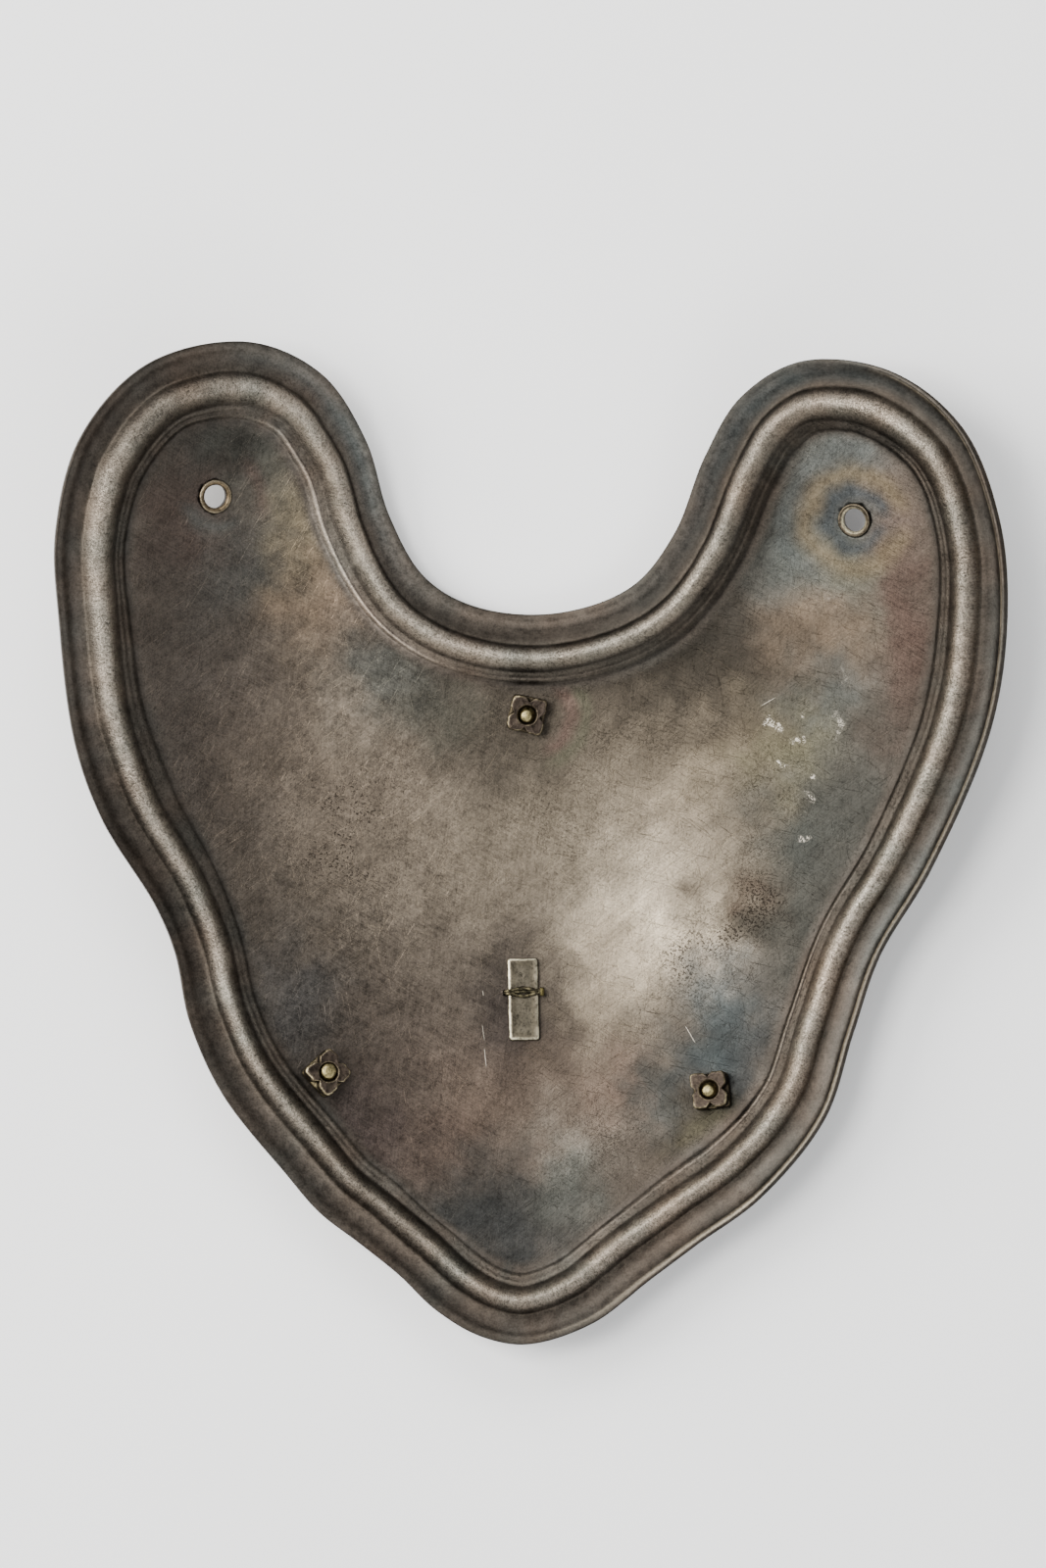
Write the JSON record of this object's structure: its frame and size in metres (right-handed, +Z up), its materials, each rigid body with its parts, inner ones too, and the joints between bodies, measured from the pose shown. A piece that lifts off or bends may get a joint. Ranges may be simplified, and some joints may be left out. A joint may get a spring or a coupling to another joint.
{
  "type": "steel gorget",
  "caption": "Heart-shaped steel duty gorget lying hollow back up, with a moulded edge, notched nuts on brass studs, eyelets in the horns and a stapled bar.",
  "frame": {"origin": "on the surface the gorget lies on, under the middle of its bounding box", "axes": "+Z up out of the hollow back, +Y towards the wearer's neck, +X to the right as the back is seen"},
  "size_m": [0.1702, 0.18, 0.0297],
  "materials": {
    "patinated_steel": "old bare steel, browned and stained, worn bright on the moulding",
    "nut_steel": "dark brown steel",
    "stud_brass": "worn brass",
    "eyelet_steel": "browned steel",
    "bar_metal": "pale dull metal with bright edges",
    "staple_wire": "dark olive-brown wire"
  },
  "bodies": {
    "root": {"gorget_plate": "patinated_steel", "stud_top": "stud_brass", "nut_top": "nut_steel", "stud_left": "stud_brass", "nut_left": "nut_steel", "stud_right": "stud_brass", "nut_right": "nut_steel", "eyelet_left": "eyelet_steel", "eyelet_right": "eyelet_steel", "clip_bar": "bar_metal", "clip_staple": "staple_wire"}
  },
  "joints": []
}
